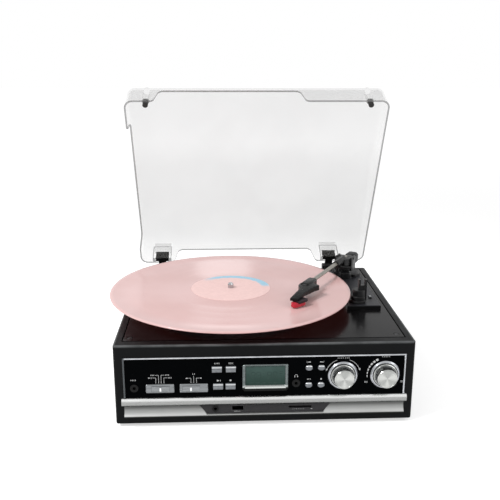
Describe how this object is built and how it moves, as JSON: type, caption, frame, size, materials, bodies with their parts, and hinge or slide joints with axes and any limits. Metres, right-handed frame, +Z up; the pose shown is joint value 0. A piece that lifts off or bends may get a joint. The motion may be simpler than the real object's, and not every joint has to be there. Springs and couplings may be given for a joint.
{
  "type": "turntable with radio",
  "caption": "Belt-drive turntable with radio: black cabinet, front controls and display, straight arm on a raised plate, full-size record, clear notched lid open.",
  "frame": {"origin": "on the plane of the foot undersides, below the middle of the whole outline with the lid open", "axes": "+X to the right seen from the front, +Y to the back, +Z up"},
  "size_m": [0.3508, 0.3289, 0.3599],
  "materials": {
    "case_black": "black foil over board, satin",
    "fibre_board": "bare hardboard",
    "foot_rubber": "matt",
    "screw_steel": "plated",
    "deck_black": "glossy black",
    "fascia_black": "glossy black",
    "trim_chrome": "polished",
    "silver_plastic": "silver paint",
    "port_grey": "dark grey",
    "lcd_bezel": "silver paint",
    "lcd_window": "clear window",
    "board_green": "glass fibre board",
    "switch_silver": "silver paint",
    "jack_black": "black",
    "socket_steel": "plated",
    "black_plastic": "grained",
    "platter_aluminium": "turned",
    "mat_rubber": "ribbed",
    "record_pink": "pale pink vinyl",
    "label_paper": "paper",
    "bearing_brass": "turned",
    "belt_rubber": "smooth",
    "motor_steel": "plated can",
    "arm_grey": "dark grey",
    "arm_black": "black",
    "arm_tube_grey": "painted grey",
    "weight_iron": "black paint",
    "cartridge_black": "dark brown",
    "stylus_red": "red",
    "lid_clear": "clear",
    "bracket_steel": "black",
    "button_silver": "silver paint",
    "knob_chrome": "turned face"
  },
  "bodies": {
    "housing": {"cabinet": "case_black", "base_panel": "fibre_board", "feet": "foot_rubber", "case_screws": "screw_steel", "deck": "deck_black", "fascia": "fascia_black", "fascia_frame": "trim_chrome", "trim_stripe": "trim_chrome", "lower_bezel": "silver_plastic", "port_panel": "port_grey", "lcd_bezel": "lcd_bezel", "lcd_window": "lcd_window", "control_board": "board_green", "switch_bezels": "switch_silver", "knob_collars": "trim_chrome", "audio_jacks": "jack_black", "usb_socket": "socket_steel", "card_socket": "socket_steel", "main_board": "board_green", "rear_plate": "black_plastic", "rca_sockets": "jack_black", "power_inlet": "jack_black", "bearing_housing": "bearing_brass", "belt": "belt_rubber", "motor": "motor_steel", "arm_plate": "arm_grey", "arm_base": "arm_black", "arm_rest": "arm_black", "hinge_brackets": "bracket_steel"},
    "turntable": {"platter": "platter_aluminium", "platter_mat": "mat_rubber", "record": "record_pink", "record_labels": "label_paper", "spindle": "screw_steel"},
    "motor_rotor": {"motor_pulley": "bearing_brass"},
    "yoke": {"arm_yoke": "arm_black"},
    "arm": {"arm_block": "arm_black", "arm_tube": "arm_tube_grey", "headshell": "arm_black", "cartridge": "cartridge_black", "stylus": "stylus_red", "counterweight": "weight_iron"},
    "lift": {"lift_platform": "arm_black"},
    "lever": {"cue_lever": "arm_black"},
    "speed": {"speed_switch": "switch_silver"},
    "lid": {"lid_shell": "lid_clear", "lid_bumpers": "foot_rubber", "hinge_leaves": "arm_black"},
    "function": {"function_slider": "switch_silver"},
    "record_select": {"record_slider": "switch_silver"},
    "tuning": {"tuning_knob": "knob_chrome"},
    "volume": {"volume_knob": "knob_chrome"},
    "button_band_body": {"button_band": "button_silver"},
    "button_mode_body": {"button_mode": "button_silver"},
    "button_play_body": {"button_play": "button_silver"},
    "button_record_body": {"button_record": "button_silver"},
    "button_skip_back_body": {"button_skip_back": "button_silver"},
    "button_skip_next_body": {"button_skip_next": "button_silver"},
    "button_folder_body": {"button_folder": "button_silver"},
    "button_stop_body": {"button_stop": "button_silver"}
  },
  "joints": [
    {"name": "lid_hinge", "type": "hinge", "parent": "housing", "child": "lid", "pos_m": [0.01045, 0.13831, 0.0976], "axis": [-1, 0, 0], "range_deg": [-63.4, 0]},
    {"name": "platter_spin", "type": "hinge", "parent": "housing", "child": "turntable", "pos_m": [-0.02465, -0.00949, 0.104], "axis": [0, 0, 1], "continuous": true},
    {"name": "motor_spin", "type": "hinge", "parent": "housing", "child": "motor_rotor", "pos_m": [-0.08655, 0.05242, 0.094], "axis": [0, 0, 1], "continuous": true},
    {"name": "arm_swing", "type": "hinge", "parent": "housing", "child": "yoke", "pos_m": [0.13745, 0.08052, 0.104], "axis": [0, 0, 1], "range_deg": [-16.3, 30.75]},
    {"name": "arm_lift", "type": "hinge", "parent": "yoke", "child": "arm", "pos_m": [0.13745, 0.08052, 0.1265], "axis": [-0.866, 0.5, 0], "range_deg": [0, 3.4]},
    {"name": "lift_rise", "type": "slide", "parent": "housing", "child": "lift", "axis": [0, 0, 1], "range_m": [0, 0.0018]},
    {"name": "cue_turn", "type": "hinge", "parent": "housing", "child": "lever", "pos_m": [0.14795, 0.06861, 0.102], "axis": [0, 0, 1], "range_deg": [-60, 0]},
    {"name": "speed_slide", "type": "slide", "parent": "housing", "child": "speed", "axis": [0, 1, 0], "range_m": [-0.003, 0.003]},
    {"name": "function_slide", "type": "slide", "parent": "housing", "child": "function", "axis": [1, 0, 0], "range_m": [-0.003, 0.003]},
    {"name": "record_slide", "type": "slide", "parent": "housing", "child": "record_select", "axis": [1, 0, 0], "range_m": [0, 0.006]},
    {"name": "tuning_turn", "type": "hinge", "parent": "housing", "child": "tuning", "pos_m": [0.09605, -0.15188, 0.0583], "axis": [0, 1, 0], "continuous": true},
    {"name": "volume_turn", "type": "hinge", "parent": "housing", "child": "volume", "pos_m": [0.14295, -0.15188, 0.0583], "axis": [0, 1, 0], "range_deg": [-150, 150]},
    {"name": "button_band_press", "type": "slide", "parent": "housing", "child": "button_band_body", "axis": [0, 1, 0], "range_m": [0, 0.001], "stiffness_N_per_m": 300},
    {"name": "button_mode_press", "type": "slide", "parent": "housing", "child": "button_mode_body", "axis": [0, 1, 0], "range_m": [0, 0.001], "stiffness_N_per_m": 300},
    {"name": "button_play_press", "type": "slide", "parent": "housing", "child": "button_play_body", "axis": [0, 1, 0], "range_m": [0, 0.001], "stiffness_N_per_m": 300},
    {"name": "button_record_press", "type": "slide", "parent": "housing", "child": "button_record_body", "axis": [0, 1, 0], "range_m": [0, 0.001], "stiffness_N_per_m": 300},
    {"name": "button_skip_back_press", "type": "slide", "parent": "housing", "child": "button_skip_back_body", "axis": [0, 1, 0], "range_m": [0, 0.001], "stiffness_N_per_m": 300},
    {"name": "button_skip_next_press", "type": "slide", "parent": "housing", "child": "button_skip_next_body", "axis": [0, 1, 0], "range_m": [0, 0.001], "stiffness_N_per_m": 300},
    {"name": "button_folder_press", "type": "slide", "parent": "housing", "child": "button_folder_body", "axis": [0, 1, 0], "range_m": [0, 0.001], "stiffness_N_per_m": 300},
    {"name": "button_stop_press", "type": "slide", "parent": "housing", "child": "button_stop_body", "axis": [0, 1, 0], "range_m": [0, 0.001], "stiffness_N_per_m": 300}
  ],
  "couplings": [
    {"joint": "motor_spin", "follows": "platter_spin", "ratio": 14.5},
    {"joint": "lift_rise", "follows": "arm_lift", "m_per_rad": 0.03},
    {"joint": "cue_turn", "follows": "arm_lift", "ratio": -17.6}
  ]
}
